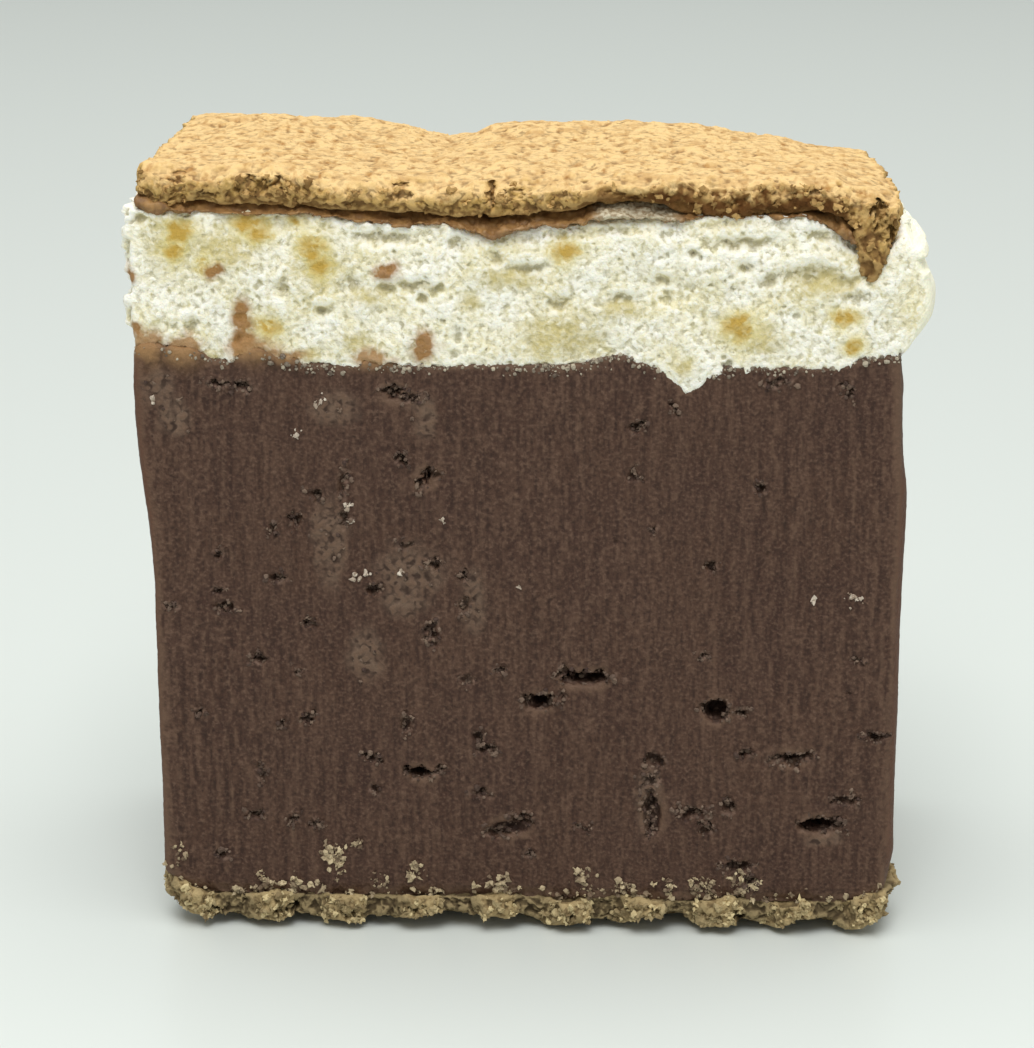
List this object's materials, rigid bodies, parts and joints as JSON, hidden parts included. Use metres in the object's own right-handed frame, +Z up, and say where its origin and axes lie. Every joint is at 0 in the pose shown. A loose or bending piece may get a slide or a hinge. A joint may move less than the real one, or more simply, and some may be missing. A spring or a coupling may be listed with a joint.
{
  "type": "smores fudge slice",
  "caption": "Cut slice of layered fudge: cracker base, thick chocolate fudge, marshmallow, a chocolate spread and a cracker lid.",
  "frame": {"origin": "middle of the bounding box's foot, on the surface that the slice stands on", "axes": "+Z up, the cut face that shows in front towards -Y, +X to the right of a viewer who faces it"},
  "size_m": [0.0676, 0.0362, 0.0689],
  "materials": {
    "baked_cracker": "dry porous baked crumb, golden on its upper face and browner where it is broken",
    "chocolate_fudge": "dense dark brown fudge with a dull knife-cut face and small air holes",
    "torn_marshmallow": "cream-white foam, torn in front and smooth at its right end, with honey-coloured spots",
    "milk_chocolate": "thin smeared milk chocolate, satin"
  },
  "bodies": {
    "root": {"cracker_base": "baked_cracker", "fudge": "chocolate_fudge", "marshmallow": "torn_marshmallow", "chocolate_spread": "milk_chocolate", "cracker_lid": "baked_cracker"}
  },
  "joints": []
}
